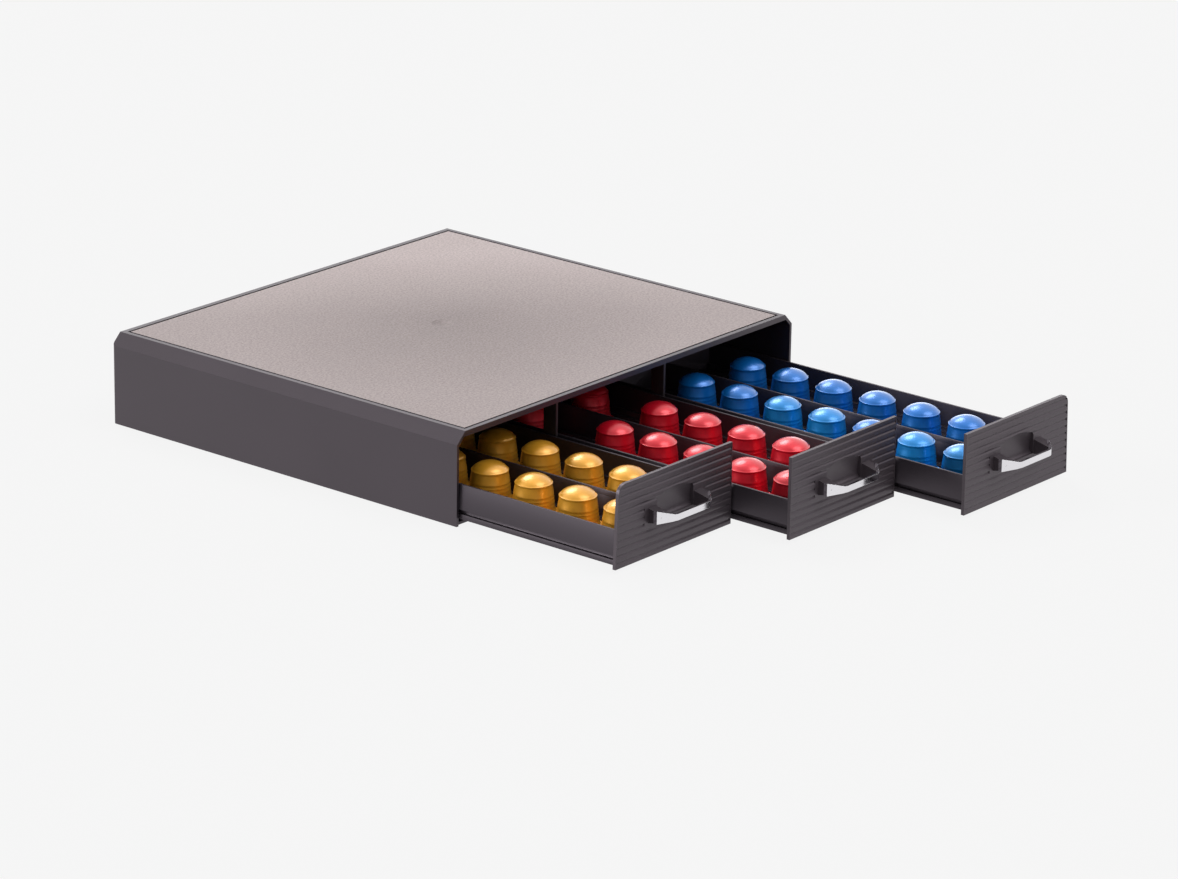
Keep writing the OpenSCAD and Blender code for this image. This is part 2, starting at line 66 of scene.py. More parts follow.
# Places closer than NEAR count as one, corners closer than MERGED are merged,
# and faces that bend less than LEVEL are joined.
NEAR = 1e-5
MERGED = 2e-6
LEVEL = math.radians(0.4)

# How far a cutter reaches past what it cuts, and half the length of a prism that trims a small part.
CLEAR = 0.01
BEYOND = 0.05


# ---------------------------------------------------------------- settings


def length(name, description, default):
    """A size in metres that a user may change."""
    return FloatProperty(name=name, description=description, default=default, unit="LENGTH", precision=5)


def angle(name, description, degrees):
    """An angle that a user may change."""
    turn = math.radians(degrees)
    return FloatProperty(name=name, description=description, default=turn, subtype="ANGLE")


def number(name, description, default):
    """A plain number that a user may change."""
    return FloatProperty(name=name, description=description, default=default)


def linear(shade):
    """Screen values from 0 to 255 as the linear values that a shader takes."""
    parts = [value / 255 for value in shade]
    return [part / 12.92 if part <= 0.04045 else ((part + 0.055) / 1.055) ** 2.4 for part in parts]


def colour(name, description, *shade):
    """A colour that a user may change, given as it looks on screen."""
    return FloatVectorProperty(
        name=name, description=description, default=linear(shade), subtype="COLOR", min=0, max=1
    )


def chosen(name):
    """One of the colours of the finishes."""
    return tuple(getattr(bpy.context.scene.poddrawer_colours, name))


class HousingSizes(bpy.types.PropertyGroup):
    """Sizes of the housing that its box doesn't give."""

    wall: length("Wall", "Thickness of the walls", 0.002)
    deck: length("Deck", "Thickness of the top deck", 0.0032)
    lip: length("Lip height", "Height of the front lip", 0.0038)
    lip_depth: length("Lip depth", "Depth of the front lip", 0.006)
    slope: length("Slope", "Size of the sloping side edges", 0.008)
    corner: length("Rear corner", "Radius of the upright rear corners", 0.0025)
    rim: length("Rim", "Width of the rim round the inlay panel", 0.0034)
    rear_rim: length("Rear rim", "Width of the rim behind the inlay panel", 0.004)
    recess: length("Panel recess", "Depth of the recess for the inlay panel", 0.002)
    divider_place: length("Divider place", "Distance of a dividing wall from the middle", 0.0579)
    keeper_height: length("Keeper height", "Height of the keeper ribs above the lower edge", 0.009)
    keeper_reach: length("Keeper reach", "How far a keeper rib stands out", 0.0028)
    softness: length("Edge softness", "Radius asked for the edges, before the bevel's clamp", 0.0007)


class FrontSizes(bpy.types.PropertyGroup):
    """Sizes of the ribbed drawer fronts."""

    thickness: length("Thickness", "Thickness of a front", 0.0024)
    corner: length("Corner", "Radius of the outer top corner of an outer front", 0.0065)
    rib_pitch: length("Rib pitch", "Spacing of the grooves", 0.005)
    lean: length("Lean", "How far an outer front's edge leans in", 0.0023)
    groove_width: length("Groove width", "Width of a groove", 0.0028)
    groove_depth: length("Groove depth", "Depth of a groove", 0.0006)
    edge_band: length("Edge band", "Plain band at the side edges", 0.001)
    plain_half: length("Plain half width", "Half width of the plain field at the handle", 0.0315)
    plain_low: length("Plain field bottom", "Height of the plain field's lower edge", 0.0255)
    plain_high: length("Plain field top", "Height of the plain field's upper edge", 0.0390)
    arch_half: length("Arch half width", "Half width of the finger recess's arch", 0.029)
    arch_rise: length("Arch rise", "Height of the arch above its springing", 0.017)
    arch_foot: length("Arch springing", "Height of the arch's springing", 0.028)
    arch_limit: length("Recess half width", "Half width of the finger recess", 0.0187)
    recess_low: length("Recess bottom", "Height of the finger recess's lower edge", 0.0265)
    recess_depth: length("Recess depth", "Depth of the finger recess", 0.003)
    recess_top: length("Recess top depth", "Depth of the finger recess at its top", 0.0006)
    recess_wall: length("Recess wall", "Thickness of the wall behind the finger recess", 0.0012)
    softness: length("Edge softness", "Radius asked for the edges, before the bevel's clamp", 0.00035)


class HandleSizes(bpy.types.PropertyGroup):
    """Sizes of the bow handles."""

    grip_half: length("Grip half length", "Half length of the straight grip", 0.0183)
    end_out: length("End stand-off", "How far the bow's ends stand out", 0.007)
    thickness: length("Thickness", "Thickness of the bow", 0.002)
    end_height: length("End height", "Height of the bow at its ends", 0.0094)
    grip_height: length("Grip height", "Height of the bow along the grip", 0.0044)
    post_width: length("Post width", "Width of a handle post", 0.008)
    post_extra: length("Post margin", "How far a post stands over the bow's end at its root", 0.0004)
    post_taper: length("Post taper", "How far a post narrows towards the grip, above and below", 0.0036)
    bend: length("Bend", "Radius of the bow's bends", 0.0025)
    softness: length("Edge softness", "Radius asked for the edges, before the bevel's clamp", 0.0005)


class PodSizes(bpy.types.PropertyGroup):
    """Sizes of the coffee pods."""

    foot: length("Foot radius", "Radius of a pod just above its flange", 0.0150)
    shoulder: length("Shoulder radius", "Radius of a pod at its shoulder", 0.0126)
    shoulder_drop: length("Shoulder drop", "How far the shoulder lies below the end", 0.0060)
    flange: length("Flange thickness", "Thickness of the curled flange", 0.0011)
    ring_height: length("Ring height", "Height of the uppermost ring above the foil", 0.0146)
    ring_pitch: length("Ring pitch", "Distance between the rings", 0.0026)
    ring_size: length("Ring size", "How far a ring stands out", 0.00013)
    bead: length("Bead", "How far the shoulder's bead stands out", 0.00008)
    rings: IntProperty(name="Rings", description="Rings round a pod", default=4, min=0, max=4)
    steps: IntProperty(name="Steps", description="Faces round a pod", default=64, min=12, max=128)


class FinishColours(bpy.types.PropertyGroup):
    """Colours of the finishes."""

    housing: colour("Housing", "Moulded plastic of the housing", 28, 23, 27)
    panel: colour("Inlay panel", "Textured inlay panel", 164, 153, 152)
    # Paler than the housing's plastic: painted light that makes up for the weaker lamps and darker
    # reflections on the camera-facing fronts.
    front: colour("Fronts", "Ribbed drawer fronts", 54, 48, 52)
    tray: colour("Trays", "Moulded plastic of the trays", 28, 24, 29)
    # Darker than the housing's plastic: painted shade for the parts deep inside the housing and for the
    # inlay panel's sides.
    inner: colour("Inner parts", "Base plate and dividing walls", 18, 16, 17)
    gold: colour("Gold pods", "Lacquer of the pods on the left", 238, 170, 46)
    red: colour("Red pods", "Lacquer of the pods in the middle", 226, 12, 42)
    royal: colour("Royal blue pods", "Lacquer of the darker pods on the right", 0, 114, 202)
    cyan: colour("Light blue pods", "Lacquer of the lighter pods on the right", 0, 140, 220)
    chrome: colour("Chrome", "Plating of the handles", 232, 230, 234)
    zinc: colour("Zinc", "Plating of the screws", 190, 190, 188)
    foil: colour("Foil", "Lids under the pods", 214, 214, 214)
    rubber: colour("Rubber", "Feet", 34, 33, 33)
    floor: colour("Floor", "Floor and background", 252, 252, 252)


class StageSettings(bpy.types.PropertyGroup):
    """Camera, lamps and floor."""

    bearing: angle("Bearing", "Turn of the view from +Y towards +X", 50.556)
    elevation: angle("Elevation", "How far the camera looks down", 18.896)
    roll: angle("Roll", "Tilt of the camera", 0.932)
    place: FloatVectorProperty(
        name="Place", description="Where the camera stands from the housing's front left corner",
        default=(-2.3252, -2.0248, 1.1176), subtype="TRANSLATION", unit="LENGTH"
    )
    lens: number("Lens", "Focal length in millimetres", 151.92)
    sky: number("Sky", "Strength of the light all round", 0.42)
    ahead: number("Ahead", "Strength of the front of the studio in reflections", 0.6)
    behind: number("Behind", "Strength of the rear of the studio in reflections", 1.15)
    glow: number("Glow", "Extra strength low behind the object in reflections", 2.4)
    shadow: number("Shadow", "How much of its shadow the floor keeps", 0.1)


# ---------------------------------------------------------------- solids


def block(low, high):
    """A box between two corners."""
    low, high = Vector(low), Vector(high)
    bm = bmesh.new()
    place = Matrix.Translation((low + high) / 2) @ Matrix.Diagonal((*(high - low), 1))
    bmesh.ops.create_cube(bm, size=1, matrix=place)
    return bm


def prism(outline, axis, start, end):
    """A closed solid from start to end along axis, with an outline in the two other axes."""
    index = "xyz".index(axis)
    others = [i for i in range(3) if i != index]
    bm = bmesh.new()
    corners = []
    for pair in outline:
        point = Vector()
        point[index] = start
        point[others[0]], point[others[1]] = pair
        corners.append(bm.verts.new(point))
    face = bm.faces.new(corners)
    grown = bmesh.ops.extrude_face_region(bm, geom=[face])
    shift = Vector()
    shift[index] = end - start
    moved = [part for part in grown["geom"] if isinstance(part, bmesh.types.BMVert)]
    bmesh.ops.translate(bm, verts=moved, vec=shift)
    bmesh.ops.recalc_face_normals(bm, faces=bm.faces)
    return bm


def rod(centre, axis, radius, start, end, steps=32):
    """A round bar along Y or Z through centre, which is given in the other two axes."""
    turns = [2 * math.pi * i / steps for i in range(steps)]
    outline = [(centre[0] + radius * math.cos(t), centre[1] + radius * math.sin(t)) for t in turns]
    return prism(outline, axis, start, end)


def lathe(profile, centre, steps):
    """A closed round solid: a profile in radius and height, from axis to axis, spun about Z at centre."""
    bm = bmesh.new()
    line = [bm.verts.new((centre[0] + run, centre[1], centre[2] + rise)) for run, rise in profile]
    edges = [bm.edges.new(pair) for pair in zip(line, line[1:])]
    bmesh.ops.spin(
        bm, geom=line + edges, cent=centre, axis=(0, 0, 1), angle=2 * math.pi, steps=steps, use_merge=True
    )
    bmesh.ops.remove_doubles(bm, verts=bm.verts, dist=MERGED)
    bmesh.ops.recalc_face_normals(bm, faces=bm.faces)
    return bm


def gather(solids):
    """One bmesh that holds several solids side by side; the others are used up."""
    whole = solids[0]
    for solid in solids[1:]:
        mesh = bpy.data.meshes.new("part")
        solid.to_mesh(mesh)
        solid.free()
        whole.from_mesh(mesh)
        bpy.data.meshes.remove(mesh)
    return whole


def loose_object(bm, name):
    """An object in the scene that holds bm, which is used up."""
    mesh = bpy.data.meshes.new(name)
    bm.to_mesh(mesh)
    bm.free()
    made = bpy.data.objects.new(name, mesh)
    bpy.context.scene.collection.objects.link(made)
    return made


def simplify(bm):
    """Merges corners that lie together and joins faces that lie in one plane."""
    bmesh.ops.remove_doubles(bm, verts=bm.verts, dist=MERGED)
    bmesh.ops.dissolve_limit(
        bm, angle_limit=LEVEL, verts=bm.verts, edges=bm.edges, use_dissolve_boundaries=False
    )


def combine(base, operation, *tools):
    """base with tools added (UNION), cut away (DIFFERENCE) or as its limit (INTERSECT); all are used up."""
    for tool in tools:
        kept, other = loose_object(base, "base"), loose_object(tool, "tool")
        step = kept.modifiers.new("solid", "BOOLEAN")
        step.operation = operation
        step.object = other
        step.solver = "EXACT"
        bpy.context.view_layer.update()
        base = bmesh.new()
        base.from_object(kept, bpy.context.evaluated_depsgraph_get())
        for used in (kept, other):
            mesh = used.data
            bpy.data.objects.remove(used)
            bpy.data.meshes.remove(mesh)
        simplify(base)
    return base


def round_edges(bm, picks, radius, segments):
    """Rounds the edges for which picks, given an edge's two ends, is true."""
    edges = [e for e in bm.edges if picks(e.verts[0].co, e.verts[1].co)]
    bmesh.ops.bevel(
        bm, geom=edges, offset=radius, offset_type="OFFSET", segments=segments,
        profile=0.5, affect="EDGES", clamp_overlap=True, material=-1
    )


def along(axis, a, b):
    """Whether the edge from a to b runs along one axis."""
    return all(abs(a[i] - b[i]) < NEAR for i in range(3) if i != "xyz".index(axis))


def cad_solids(node):
    """A copy of a CAD node with its triangles merged into solids."""
    bm = bmesh.new()
    bm.from_mesh(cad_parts[node].data)
    bmesh.ops.remove_doubles(bm, verts=bm.verts, dist=MERGED)
    return bm


def islands(node):
    """The box of each separate solid of a CAD node, from front to rear."""
    bm = cad_solids(node)
    left = set(bm.verts)
    boxes = []
    while left:
        reached, edge = set(), [left.pop()]
        while edge:
            vert = edge.pop()
            reached.add(vert)
            near = {e.other_vert(vert) for e in vert.link_edges} & left
            edge += near
            left -= near
        low = Vector([min(v.co[i] for v in reached) for i in range(3)])
        high = Vector([max(v.co[i] for v in reached) for i in range(3)])
        boxes.append((low, high))
    bm.free()
    return sorted(boxes, key=lambda box: (round(box[0].y, 4), box[0].x))


def middles(node):
    """The middle of each separate solid of a CAD node, from front to rear."""
    return [(low + high) / 2 for low, high in islands(node)]


def piece(bm, name, body, finishes, node, softness=0.0, segments=2, crease=30):
    """Makes bm a finished piece that rides on a body and stands for a CAD node."""
    bmesh.ops.connect_verts_concave(bm, faces=bm.faces)
    for face in bm.faces:
        face.smooth = True
    made = loose_object(bm, name)
    for finish in finishes:
        made.data.materials.append(finish)
    if softness:
        # Blender's overlap clamp is on by default. It narrows the bevel of the whole piece, on some
        # pieces to almost nothing, so the real softness is less than the one that is asked for.
        bevel = made.modifiers.new("soft edges", "BEVEL")
        bevel.width = softness
        bevel.segments = segments
        bevel.limit_method = "ANGLE"
        bevel.angle_limit = math.radians(crease)
        bevel.harden_normals = True
        bevel.miter_outer = "MITER_ARC"
    else:
        made.data.set_sharp_from_angle(angle=math.radians(crease))
    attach(made, body)
    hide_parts(node)


def softened(node, body, finish, softness):
    """A copy of a CAD node, its edges softened as far as the clamp allows, which stands for the node."""
    bm = cad_solids(node)
    simplify(bm)
    for face in bm.faces:
        face.material_index = 0
    piece(bm, f"{node}_moulded", body, [finish], node, softness)


# ---------------------------------------------------------------- finishes


class Wire:
    """A shader socket that takes part in Python sums, each of which adds a Math node."""

    def __init__(self, wiring, socket):
        self.wiring = wiring
        self.socket = socket

    def sum(self, operation, *values):
        return self.wiring.node("ShaderNodeMath", {"operation": operation}, dict(enumerate(values)))

    def __add__(self, other):
        return self.sum("ADD", self, other)

    __radd__ = __add__

    def __sub__(self, other):
        return self.sum("SUBTRACT", self, other)

    def __rsub__(self, other):
        return self.sum("SUBTRACT", other, self)

    def __mul__(self, other):
        return self.sum("MULTIPLY", self, other)

    __rmul__ = __mul__


class Wiring:
    """The nodes and links of a material or of the world."""

    def __init__(self, tree):
        self.nodes = tree.nodes
        self.links = tree.links

    def feed(self, socket, value):
        if isinstance(value, Wire):
            self.links.new(value.socket, socket)
        else:
            socket.default_value = value

    def node(self, kind, settings=None, inputs=None, output=0):
        """Any node, with its settings first, then the values or wires of its inputs."""
        made = self.nodes.new(kind)
        for key, value in (settings or {}).items():
            setattr(made, key, value)
        for key, value in (inputs or {}).items():
            self.feed(made.inputs[key], value)
        return Wire(self, made.outputs[output])

    def span(self, value, low, high, to_low=0.0, to_high=1.0):
        """Value, taken from between low and high to between to_low and to_high."""
        inputs = {0: value, 1: low, 2: high, 3: to_low, 4: to_high}
        return self.node("ShaderNodeMapRange", {"clamp": True}, inputs)


class Finish(Wiring):
    """A material and the nodes that make it."""

    def __init__(self, name):
        self.material = bpy.data.materials.new(name)
        self.material.use_nodes = True
        super().__init__(self.material.node_tree)
        self.shader = self.nodes["Principled BSDF"]

    def place(self):
        """Object coordinates."""
        return self.node("ShaderNodeTexCoord", output=3)

    def noise(self, scale, detail=2.0, roughness=0.5, vector=None):
        """Noise with features of about 1 / scale metres."""
        inputs = {"Scale": scale, "Detail": detail, "Roughness": roughness}
        inputs["Vector"] = vector or self.place()
        return self.node("ShaderNodeTexNoise", None, inputs)

    def stretched(self, scale, shift=(0, 0, 0)):
        """Object coordinates, stretched and then shifted."""
        inputs = {"Vector": self.place(), "Location": shift, "Scale": scale}
        return self.node("ShaderNodeMapping", None, inputs)

    def mix(self, factor, first, second):
        """A colour between two others."""
        first = first if isinstance(first, Wire) else (*first[:3], 1)
        second = second if isinstance(second, Wire) else (*second[:3], 1)
        settings = {"data_type": "RGBA"}
        return self.node("ShaderNodeMix", settings, {0: factor, 6: first, 7: second}, output=2)

    def bump(self, height, strength, distance):
        """A normal from a height."""
        inputs = {"Height": height, "Strength": strength, "Distance": distance}
        return self.node("ShaderNodeBump", None, inputs)

    def set(self, **values):
        """Sets the shader's own sockets, named with underscores for spaces."""
        for key, value in values.items():
            if isinstance(value, tuple) and len(value) == 3:
                value = (*value, 1)
            self.feed(self.shader.inputs[key.replace("_", " ")], value)
        return self.material


def tinted(shade, factor):
    """A colour made lighter or darker."""
    return tuple(min(1.0, part * factor) for part in shade)


def moulded_plastic(name, shade, roughness=0.42, grain=0.35):
    """Satin moulded plastic: fine spark-eroded grain, faint flow clouds and a little dust in the grain."""
    finish = Finish(name)
    clouds = finish.noise(14, 3)
    grains = finish.noise(2600, 2, 0.6)
    specks = finish.span(finish.noise(900, 1), 0.62, 0.74)
    flow = finish.mix(finish.span(clouds, 0.3, 0.7), tinted(shade, 0.90), tinted(shade, 1.10))
    worn = finish.mix(specks * 0.25, flow, tinted(shade, 1.7))
    rough = finish.span(clouds * 0.6 + grains * 0.4, 0.3, 0.7, roughness - 0.05, roughness + 0.07)
    bumps = finish.bump(grains + finish.noise(420, 2) * 0.6, grain, 0.00006)
    return finish.set(
        Base_Color=worn, Roughness=rough, Normal=bumps, Specular_IOR_Level=0.8,
        Specular_Tint=(1.0, 0.86, 0.98)
    )


def inlay_plastic(name, shade, low, high):
    """Matt panel from low to high: leather-like grain and soft blotches, with painted light that makes it
    paler round its edge and painted sheen that makes it paler towards its rear.
    """
    finish = Finish(name)
    blotches = finish.noise(38, 5, 0.62)
    middle, reach = (low + high) / 2, (high - low) / 2
    shift = (-middle.x / reach.x, -middle.y / reach.y, 0)
    centred = finish.stretched((1 / reach.x, 1 / reach.y, 0), shift)
    # Painted light: near makes the panel paler round its edge, and far, a painted sheen, makes it paler
    # towards its rear; only the noise added to them is the panel's own tone.
    near = finish.node("ShaderNodeTexGradient", {"gradient_type": "SPHERICAL"}, {"Vector": centred})
    rearwards = {0: centred, 1: (1, 1, 0)}
    far = finish.node("ShaderNodeVectorMath", {"operation": "DOT_PRODUCT"}, rearwards, output="Value")
    tone_and_painted_light = finish.noise(7, 2) * 0.3
    tone_and_painted_light = tone_and_painted_light + finish.span(near, 0.0, 0.9, 0.50, 0.0) + finish.span(far, 0.2, 1.8, 0.0, 0.68)
    painted_light_and_tone_share = finish.span(tone_and_painted_light, 0.15, 1.2)
    inputs = {"Vector": finish.place(), "Scale": 780}
    cells = finish.node("ShaderNodeTexVoronoi", {"feature": "F1"}, inputs)
    grain = finish.noise(620, 4, 0.7)
    base = finish.mix(finish.span(blotches, 0.32, 0.68), tinted(shade, 0.86), tinted(shade, 0.98))
    # The painted light and painted sheen make the blotchy base and the dark specks paler where their share
    # is high.
    base_with_painted_light = finish.mix(painted_light_and_tone_share, base, tinted(shade, 1.55))
    dark_specks_with_painted_light = finish.mix(painted_light_and_tone_share, tinted(shade, 0.58), tinted(shade, 1.0))
    speckled = finish.mix(finish.span(grain, 0.42, 0.62) * 0.8, base_with_painted_light, dark_specks_with_painted_light)
    rough = finish.span(blotches, 0.3, 0.7, 0.68, 0.80)
    bumps = finish.bump(cells * 0.7 + grain * 0.5, 0.6, 0.00022)
    return finish.set(Base_Color=speckled, Roughness=rough, Normal=bumps, Specular_IOR_Level=0.25)


def chrome_plate(name, shade):
    """Bright chrome plating with faint haze and a few fine rubs."""
    finish = Finish(name)
    haze = finish.noise(60, 3)
    rubs = finish.span(finish.noise(1, 3, 0.6, finish.stretched((60, 900, 1400))), 0.60, 0.72)
    tone = finish.mix(finish.span(haze, 0.3, 0.7), tinted(shade, 0.95), shade)
    rough = finish.span(haze, 0.3, 0.7, 0.06, 0.12) + rubs * 0.10
    bumps = finish.bump(rubs, 0.05, 0.00002)
    return finish.set(Base_Color=tone, Roughness=rough, Metallic=1.0, Normal=bumps)


def lacquered_aluminium(name, shade, roughness=0.38):
    """Lacquered aluminium of a pod: satin metal with drawing lines and small dents under a clear coat."""
    finish = Finish(name)
    lines = finish.noise(1, 2, 0.5, finish.stretched((60, 60, 1500)))
    dents = finish.noise(190, 1)
    cloud = finish.noise(90, 2)
    tone = finish.mix(finish.span(cloud, 0.35, 0.65), tinted(shade, 0.93), tinted(shade, 1.05))
    rough = finish.span(lines * 0.5 + cloud * 0.5, 0.35, 0.65, roughness - 0.04, roughness + 0.06)
    bumps = finish.bump(lines * 0.5 + dents, 0.10, 0.00016)
    return finish.set(
        Base_Color=tone, Roughness=rough, Metallic=0.42, Normal=bumps, Specular_IOR_Level=0.5,
        Coat_Weight=1.0, Coat_Roughness=0.25
    )


def plain_metal(name, shade, roughness):
    """Zinc plating or plain foil with fine scratches."""
    finish = Finish(name)
    cloud = finish.noise(300, 3)
    scratch = finish.noise(2400, 2)
    tone = finish.mix(finish.span(cloud, 0.3, 0.7), tinted(shade, 0.85), shade)
    rough = finish.span(cloud, 0.3, 0.7, roughness, roughness + 0.12)
    bumps = finish.bump(scratch, 0.1, 0.00003)
    return finish.set(Base_Color=tone, Roughness=rough, Metallic=1.0, Normal=bumps)


def soft_rubber(name, shade):
    """Matt rubber of the feet."""
    finish = Finish(name)
    grains = finish.noise(1800, 3)
    tone = finish.mix(finish.span(finish.noise(120, 3), 0.3, 0.7), tinted(shade, 0.8), tinted(shade, 1.3))
    rough = finish.span(grains, 0.3, 0.7, 0.72, 0.86)
    return finish.set(Base_Color=tone, Roughness=rough, Normal=finish.bump(grains, 0.4, 0.0001))


def floor_paint(name, shade, shadow):
    """Pale studio floor that keeps part of the shadow that falls on it."""
    finish = Finish(name)
    finish.set(Base_Color=tinted(shade, 0.4), Roughness=0.9, Specular_IOR_Level=0.0)
    glow = finish.node("ShaderNodeEmission", None, {"Color": (*shade, 1), "Strength": 1.0})
    lit = Wire(finish, finish.shader.outputs[0])
    seen = sum(
        finish.node("ShaderNodeLightPath", output=ray)
        for ray in ("Is Camera Ray", "Is Glossy Ray", "Is Transmission Ray")
    )
    both = finish.node("ShaderNodeMixShader", None, {0: seen * (1 - shadow), 1: lit, 2: glow})
    finish.links.new(both.socket, finish.nodes["Material Output"].inputs["Surface"])
    return finish.material


# ---------------------------------------------------------------- pieces


def hipped_block(low, high, slope_low, corner, segments):
    """A block with round upright rear corners, whose side top edges slope at 45 degrees from slope_low."""
    solid = block(low, high)
    rear = lambda a, b: along("z", a, b) and a.y > high.y - NEAR
    round_edges(solid, rear, corner, segments)
    slope = high.z - slope_low
    outline = [
        (low.x, low.z), (low.x, slope_low), (low.x + slope, high.z),
        (high.x - slope, high.z), (high.x, slope_low), (high.x, low.z),
    ]
    return combine(solid, "INTERSECT", prism(outline, "y", low.y - CLEAR, high.y + CLEAR))


class HousingPiece(bpy.types.Operator):
    """Housing with sloping top edges, rounded rear corners and a recess for the inlay panel"""

    bl_idname = "poddrawer.housing"
    bl_label = "Housing"

    def execute(self, context):
        sizes = context.scene.poddrawer_housing
        low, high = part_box("housing_shell")
        lip_y, overlap = low.y + sizes.lip_depth, 0.002
        side = sizes.slope + sizes.rim
        recess_low = (low.x + side, low.y + sizes.rim, high.z - sizes.recess)
        recess_high = (high.x - side, high.y - sizes.rear_rim, high.z + sizes.deck)
        shell = combine(
            hipped_block(low, high, high.z - sizes.slope, sizes.corner, 6), "DIFFERENCE",
            self.bay(sizes, low, high, sizes.deck, lip_y, high.y - sizes.wall),
            self.bay(sizes, low, high, sizes.lip, low.y - CLEAR, lip_y + overlap),
            block(recess_low, recess_high),
        )
        screws = [(middle.x, middle.y) for middle in middles("base_screws") if middle.y > high.y - 0.02]
        boss_radius, boss_low, boss_high, hole_radius, hole_top = 0.0032, 0.002, 0.014, 0.0009, 0.010
        bosses = [rod(screw, "z", boss_radius, low.z + boss_low, low.z + boss_high) for screw in screws]
        holes = [rod(screw, "z", hole_radius, low.z - CLEAR, low.z + hole_top, 20) for screw in screws]
        shell = combine(shell, "UNION", *self.ribs(sizes, low, high), *bosses)
        shell = combine(shell, "DIFFERENCE", *holes)
        finish = moulded_plastic("housing plastic", chosen("housing"))
        piece(shell, "housing", "housing", [finish], "housing_shell", sizes.softness, 3)
        return {"FINISHED"}

    def bay(self, sizes, low, high, roof, start, end):
        """The space inside from start to end along Y, open below, under a roof of the given thickness."""
        wall_low = Vector((low.x + sizes.wall, start, low.z - CLEAR))
        wall_high = Vector((high.x - sizes.wall, end, high.z - roof))
        slope_low = high.z - sizes.slope - sizes.wall * (math.sqrt(2) - 1)
        return hipped_block(wall_low, wall_high, slope_low, 0.0005, 3)

    def ribs(self, sizes, low, high):
        """Keeper ribs, ledges for the base plate and guides for the dividing walls."""
        rear, deck_low = high.y - sizes.wall / 2, high.z - sizes.deck
        keeper_z = low.z + sizes.keeper_height
        keeper_start, keeper_thickness = 0.018, 0.0022
        ledge_inset, ledge_reach, ledge_low, ledge_high = 0.006, 0.002, 0.002, 0.0034
        guide_start, guide_gap, guide_thickness, guide_drop, sunk = 0.004, 0.0011, 0.0012, 0.002, 0.0005
        boxes = []
        for way, wall_x in ((1, low.x), (-1, high.x)):
            inner = wall_x + way * sizes.wall
            embedded = wall_x + way * sizes.wall / 2
            near, far = sorted((embedded, inner + way * sizes.keeper_reach))
            boxes.append(((near, low.y + keeper_start, keeper_z), (far, rear, keeper_z + keeper_thickness)))
            near, far = sorted((embedded, inner + way * ledge_reach))
            start, end = low.y + ledge_inset, high.y - ledge_inset
            boxes.append(((near, start, low.z + ledge_low), (far, end, low.z + ledge_high)))
            divider = -way * sizes.divider_place
            for x in (divider - guide_gap - guide_thickness, divider + guide_gap):
                start_low = (x, low.y + guide_start, deck_low - guide_drop)
                boxes.append((start_low, (x + guide_thickness, rear, deck_low + sunk)))
        return [block(*box) for box in boxes]


class InlayPanelPiece(bpy.types.Operator):
    """Textured inlay panel with a shallow gate mark near its middle"""

    bl_idname = "poddrawer.inlay_panel"
    bl_label = "Inlay panel"

    def execute(self, context):
        low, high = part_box("top_panel")
        radius, depth, shift_x, shift_y = 0.008, 0.0013, -0.006, 0.007
        ball = (radius ** 2 + depth ** 2) / (2 * depth)
        arc = [math.radians(2.6 * i) for i in range(9)]
        profile = [(ball * math.sin(turn), -ball * math.cos(turn)) for turn in arc]
        profile.append((0, -ball * math.cos(arc[-1])))
        middle = (low + high) / 2
        mark = lathe(profile, (middle.x + shift_x, middle.y + shift_y, high.z - depth + ball), 48)
        panel = combine(block(low, high), "DIFFERENCE", mark)
        # Painted shade: the panel's sides and underside take the darker inner colour, so that the groove
        # round the panel looks dark.
        for face in panel.faces:
            face.normal_update()
            face.material_index = 0 if face.normal.z > 0.5 else 1
        finishes = [
            inlay_plastic("inlay plastic", chosen("panel"), low, high),
            moulded_plastic("inlay edge in painted shade", chosen("inner"), 0.5, 0.3),
        ]
        piece(panel, "inlay_panel", "housing", finishes, "top_panel", 0.0003, crease=5)
        return {"FINISHED"}


class InnerPartPieces(bpy.types.Operator):
    """Base plate and dividing walls, their edges softened as far as the bevel's clamp allows"""

    bl_idname = "poddrawer.inner_parts"
    bl_label = "Inner parts"

    def execute(self, context):
        # The base plate and dividing walls take the darker inner colour as painted shade.
        finish = moulded_plastic("inner plastic in painted shade", chosen("inner"), 0.5, 0.3)
        for node in ("base_plate", "divider_left", "divider_right"):
            softened(node, "housing", finish, 0.00025)
        return {"FINISHED"}


class FootPieces(bpy.types.Operator):
    """Rubber feet with a ring pressed into the sole"""

    bl_idname = "poddrawer.feet"
    bl_label = "Feet"

    def execute(self, context):
        finish = soft_rubber("foot rubber", chosen("rubber"))
        for node in [f"foot_{end}_{side}" for end in ("front", "rear") for side in ("left", "right")]:
            low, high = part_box(node)
            middle = (low + high) / 2
            radius, top = (high.x - low.x) / 2, high.z - low.z
            plug, pad, soft = 0.0024, 0.001, 0.0004
            ring = ((0.003, 0), (0.0026, 0.00015), (0.0018, 0.00015), (0.0014, 0))
            profile = [
                (0, 0), *[(radius - inset, depth) for inset, depth in ring],
                (radius - soft, 0), (radius - soft * 0.3, soft * 0.3), (radius, soft), (radius, pad),
                (plug, pad), (plug, top - soft), (plug - soft, top), (0, top),
            ]
            foot = lathe(profile, (middle.x, middle.y, low.z), 48)
            piece(foot, f"{node}_rubber", "housing", [finish], node)
        return {"FINISHED"}


